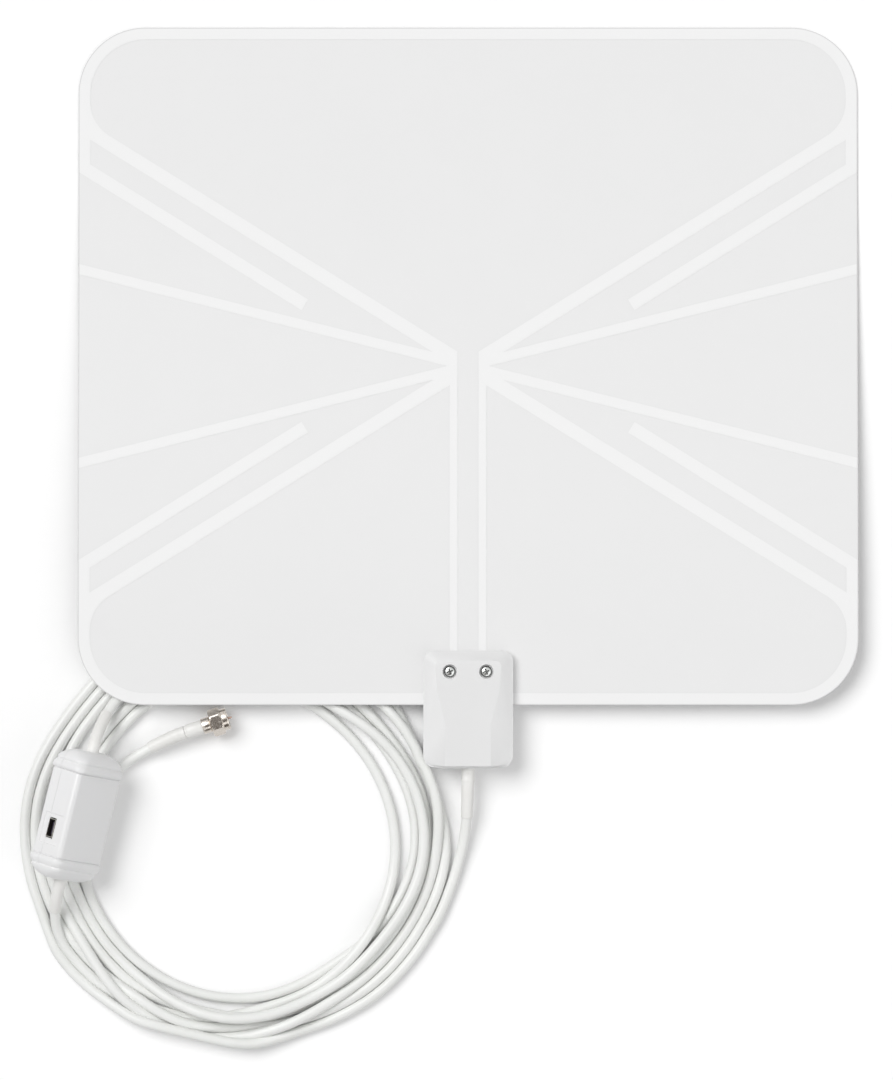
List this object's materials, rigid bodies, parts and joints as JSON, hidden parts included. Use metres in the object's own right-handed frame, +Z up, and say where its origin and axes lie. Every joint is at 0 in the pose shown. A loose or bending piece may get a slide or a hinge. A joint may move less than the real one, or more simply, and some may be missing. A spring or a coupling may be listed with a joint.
{
  "type": "flat indoor tv antenna",
  "caption": "Flat rectangular indoor tv antenna with a clamped feed housing, a coiled cord, an in-line amplifier box and a screw-on coaxial plug.",
  "frame": {"origin": "on the surface that the antenna lies on, under the middle of the sheet and its feed housing", "axes": "+Z up from the surface, out of the sheet's face; +Y towards the sheet's top edge; +X towards its right edge"},
  "size_m": [0.3765, 0.4637, 0.036],
  "materials": {
    "film": "satin laminated film",
    "foil": "thin printed foil",
    "rear_film": "matt laminated film",
    "housing": "satin moulded plastic",
    "screw": "bright plated steel",
    "contact": "plain spring strip",
    "board": "solder-masked board",
    "ferrite": "matt ferrite",
    "copper_wire": "enamelled wire",
    "sleeve": "satin moulded soft plastic",
    "cord": "smooth extruded jacket",
    "case": "satin moulded plastic",
    "tinned_steel": "tinned",
    "black_plastic": "matt moulded",
    "nickel": "nickel plated",
    "insulator": "smooth",
    "copper_pin": "bright wire"
  },
  "bodies": {
    "antenna": {"front_film": "film", "antenna_element": "foil", "rear_film": "rear_film", "housing_front_shell": "housing", "housing_rear_shell": "housing", "housing_screws": "screw", "feed_contact_left": "contact", "feed_contact_right": "contact", "balun_board": "board", "balun_core": "ferrite", "balun_winding": "copper_wire", "housing_cord_sleeve": "sleeve", "housing_lead": "cord", "cord_coil": "cord", "amp_lead": "cord", "outgoing_lead": "cord", "plug_lead": "cord", "amp_front_shell": "case", "amp_rear_shell": "case", "amp_board": "board", "amp_shield_can": "tinned_steel", "usb_socket_shell": "tinned_steel", "usb_tongue": "black_plastic", "amp_input_sleeve": "sleeve", "amp_output_sleeve": "sleeve", "plug_sleeve": "sleeve", "plug_boot": "sleeve", "plug_collar": "nickel", "plug_post": "nickel", "plug_insulator": "insulator", "plug_pin": "copper_pin"},
    "coupling_nut": {"plug_nut": "nickel"}
  },
  "joints": [
    {"name": "nut_spin", "type": "hinge", "parent": "antenna", "child": "coupling_nut", "pos_m": [-0.1195, -0.1481, 0.00645], "axis": [0.9489, 0.3156, 0], "continuous": true}
  ]
}
